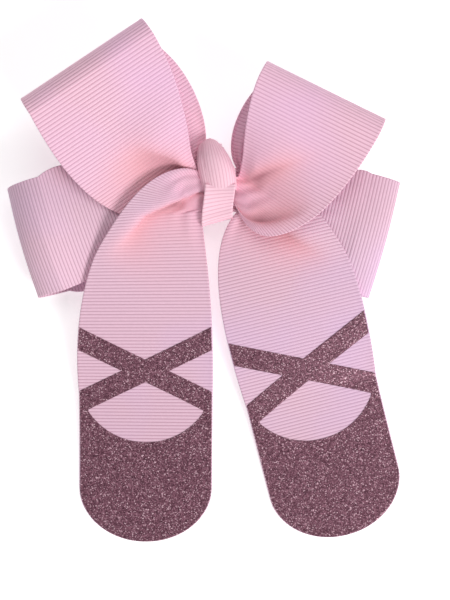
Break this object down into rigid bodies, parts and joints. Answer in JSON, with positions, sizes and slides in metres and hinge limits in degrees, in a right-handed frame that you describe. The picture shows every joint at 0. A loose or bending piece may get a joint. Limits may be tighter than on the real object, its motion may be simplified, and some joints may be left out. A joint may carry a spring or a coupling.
{
  "type": "hair bow",
  "caption": "Pink grosgrain ribbon hair bow with wide loops, a knotted centre and long round-ended tails that carry glitter ballet shoe shapes, on a sprung hair clip.",
  "frame": {"origin": "centre of the footprint, on the surface that the bow lies on with its clip underneath", "axes": "+X to the bow's right as it is seen from the front, +Y from the tails to the loops, +Z out of the bow's front"},
  "size_m": [0.164, 0.2158, 0.0387],
  "materials": {
    "pink_ribbon": "ribbed woven grosgrain, soft sheen",
    "knot_ribbon": "ribbed woven grosgrain, soft sheen",
    "glitter_vinyl": "fine glitter heat-transfer vinyl",
    "white_thread": "matte spun thread",
    "hot_glue": "smooth, milky",
    "nickel_steel": "nickel plated, bright",
    "spring_steel": "drawn wire, satin"
  },
  "bodies": {
    "bow": {"upper_left_loop": "pink_ribbon", "upper_right_loop": "pink_ribbon", "lower_left_loop": "pink_ribbon", "lower_right_loop": "pink_ribbon", "left_tail": "pink_ribbon", "right_tail": "pink_ribbon", "left_shoe_vinyl": "glitter_vinyl", "right_shoe_vinyl": "glitter_vinyl", "binding_thread": "white_thread", "knot_ribbon": "knot_ribbon", "hot_glue": "hot_glue", "clip_lining": "pink_ribbon", "clip_fixed_arm": "nickel_steel", "clip_pin": "nickel_steel", "clip_spring": "spring_steel"},
    "jaw": {"clip_jaw": "nickel_steel"}
  },
  "joints": [
    {"name": "clip_hinge", "type": "hinge", "parent": "bow", "child": "jaw", "pos_m": [0.01424, 0.04611, 0.00741], "axis": [0, -1, 0], "range_deg": [0, 28], "stiffness_Nm_per_rad": 0.1, "springref_deg": -28.65, "deforming": ["clip_spring"]}
  ]
}
